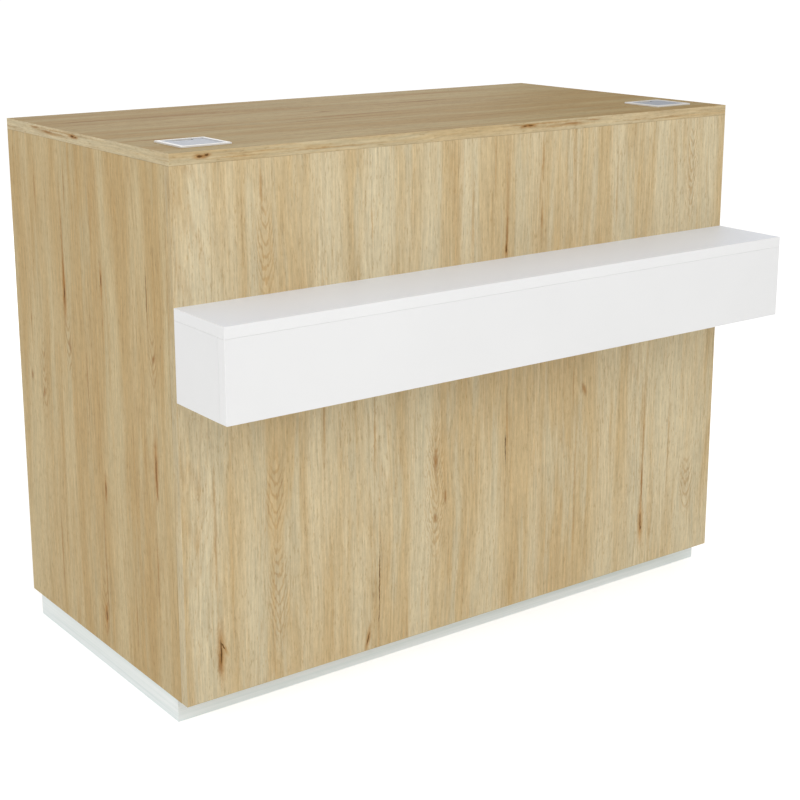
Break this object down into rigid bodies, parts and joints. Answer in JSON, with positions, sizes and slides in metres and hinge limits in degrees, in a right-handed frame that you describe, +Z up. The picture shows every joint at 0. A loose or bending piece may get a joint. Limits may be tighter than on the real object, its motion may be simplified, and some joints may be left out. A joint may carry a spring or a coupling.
{
  "type": "checkout counter",
  "caption": "Boxy shop checkout counter with oak-look panels, metal-look plinth, white bag shelf across the customer side, cable grommets in the top, lockable drawer and open shelves behind.",
  "frame": {"origin": "on the floor, under the middle of the whole counter with its bag shelf", "axes": "+X along the width to the right as the customer's side is seen from the front, +Y from the customer to the operator, +Z up"},
  "size_m": [1.2, 0.75, 0.9365],
  "materials": {
    "oak_melamine_board": "light natural oak decor, matt, melamine-faced chipboard",
    "oak_edge_band": "ABS edge band printed with the same oak decor",
    "white_melamine_board": "plain white melamine-faced chipboard, smooth satin",
    "white_edge_band": "white ABS edge band",
    "white_hardboard": "thin hardboard lacquered white",
    "aluminium_faced_plinth": "brushed aluminium-look facing on the plinth boards",
    "white_grommet_plastic": "moulded white ABS",
    "silver_lid_plastic": "moulded ABS, silver-grey",
    "black_foot_plastic": "black nylon glide on a steel stem",
    "beech_dowel": "fluted beech",
    "zinc_die_cast": "die-cast zinc, dull",
    "zinc_plated_steel": "zinc-plated steel",
    "nickel_plated_steel": "nickel plate, satin",
    "brushed_steel_handle": "brushed stainless steel"
  },
  "bodies": {
    "counter": {"top_panel": "oak_melamine_board", "top_edge_bands": "oak_edge_band", "front_panel": "oak_melamine_board", "side_panel_left": "oak_melamine_board", "side_panel_right": "oak_melamine_board", "bottom_panel": "oak_melamine_board", "divider_panel": "oak_melamine_board", "vertical_edge_bands": "oak_edge_band", "horizontal_edge_bands": "oak_edge_band", "drawer_bay_shelf": "oak_melamine_board", "open_bay_shelf_lower": "oak_melamine_board", "open_bay_shelf_upper": "oak_melamine_board", "shelf_pins": "nickel_plated_steel", "wood_dowels": "beech_dowel", "cam_housings": "zinc_die_cast", "cam_bolts": "zinc_plated_steel", "plinth_front": "aluminium_faced_plinth", "plinth_back": "aluminium_faced_plinth", "plinth_left": "aluminium_faced_plinth", "plinth_right": "aluminium_faced_plinth", "levelling_sockets": "zinc_plated_steel", "bag_shelf_top": "white_melamine_board", "bag_shelf_front": "white_melamine_board", "bag_shelf_end_left": "white_melamine_board", "bag_shelf_end_right": "white_melamine_board", "bag_shelf_bottom": "white_melamine_board", "bag_shelf_back_rail": "white_melamine_board", "bag_shelf_edge_bands": "white_edge_band", "bag_shelf_screws": "zinc_plated_steel", "grommet_frame_left": "white_grommet_plastic", "grommet_frame_right": "white_grommet_plastic", "slide_outer_left": "zinc_plated_steel", "slide_outer_right": "zinc_plated_steel", "cabinet_screws": "zinc_plated_steel", "lock_strike_plate": "zinc_plated_steel"},
    "drawer": {"drawer_front": "oak_melamine_board", "drawer_front_edge_bands": "oak_edge_band", "drawer_side_left": "white_melamine_board", "drawer_side_right": "white_melamine_board", "drawer_back": "white_melamine_board", "drawer_bottom": "white_hardboard", "drawer_handle": "brushed_steel_handle", "drawer_handle_screws": "zinc_plated_steel", "drawer_dowels": "beech_dowel", "slide_inner_left": "zinc_plated_steel", "slide_inner_right": "zinc_plated_steel", "slide_drawer_screws": "zinc_plated_steel", "lock_housing": "nickel_plated_steel", "lock_nut": "nickel_plated_steel"},
    "slide_middles": {"slide_middle_left": "zinc_plated_steel", "slide_middle_right": "zinc_plated_steel"},
    "lock_barrel": {"lock_plug": "nickel_plated_steel", "lock_cam": "zinc_plated_steel", "drawer_key": "nickel_plated_steel"},
    "grommet_lid_left": {"grommet_lid_left": "silver_lid_plastic"},
    "grommet_lid_right": {"grommet_lid_right": "silver_lid_plastic"},
    "foot_front_left": {"levelling_foot_front_left": "black_foot_plastic"},
    "foot_front_right": {"levelling_foot_front_right": "black_foot_plastic"},
    "foot_back_left": {"levelling_foot_back_left": "black_foot_plastic"},
    "foot_back_right": {"levelling_foot_back_right": "black_foot_plastic"}
  },
  "joints": [
    {"name": "drawer_slide", "type": "slide", "parent": "counter", "child": "drawer", "axis": [0, 1, 0], "range_m": [0, 0.36]},
    {"name": "slide_middle_travel", "type": "slide", "parent": "counter", "child": "slide_middles", "axis": [0, 1, 0], "range_m": [0, 0.18]},
    {"name": "lock_turn", "type": "hinge", "parent": "drawer", "child": "lock_barrel", "pos_m": [-0.341, 0.34, 0.888], "axis": [0, 1, 0], "range_deg": [0, 90]},
    {"name": "grommet_lid_left_hinge", "type": "hinge", "parent": "counter", "child": "grommet_lid_left", "pos_m": [-0.508, -0.1678, 0.93435], "axis": [1, 0, 0], "range_deg": [0, 105]},
    {"name": "grommet_lid_right_hinge", "type": "hinge", "parent": "counter", "child": "grommet_lid_right", "pos_m": [0.508, -0.1678, 0.93435], "axis": [1, 0, 0], "range_deg": [0, 105]},
    {"name": "foot_front_left_screw", "type": "slide", "parent": "counter", "child": "foot_front_left", "axis": [0, 0, -1], "range_m": [0, 0.01]},
    {"name": "foot_front_right_screw", "type": "slide", "parent": "counter", "child": "foot_front_right", "axis": [0, 0, -1], "range_m": [0, 0.01]},
    {"name": "foot_back_left_screw", "type": "slide", "parent": "counter", "child": "foot_back_left", "axis": [0, 0, -1], "range_m": [0, 0.01]},
    {"name": "foot_back_right_screw", "type": "slide", "parent": "counter", "child": "foot_back_right", "axis": [0, 0, -1], "range_m": [0, 0.01]}
  ],
  "couplings": [
    {"joint": "slide_middle_travel", "follows": "drawer_slide", "ratio": 0.5}
  ]
}
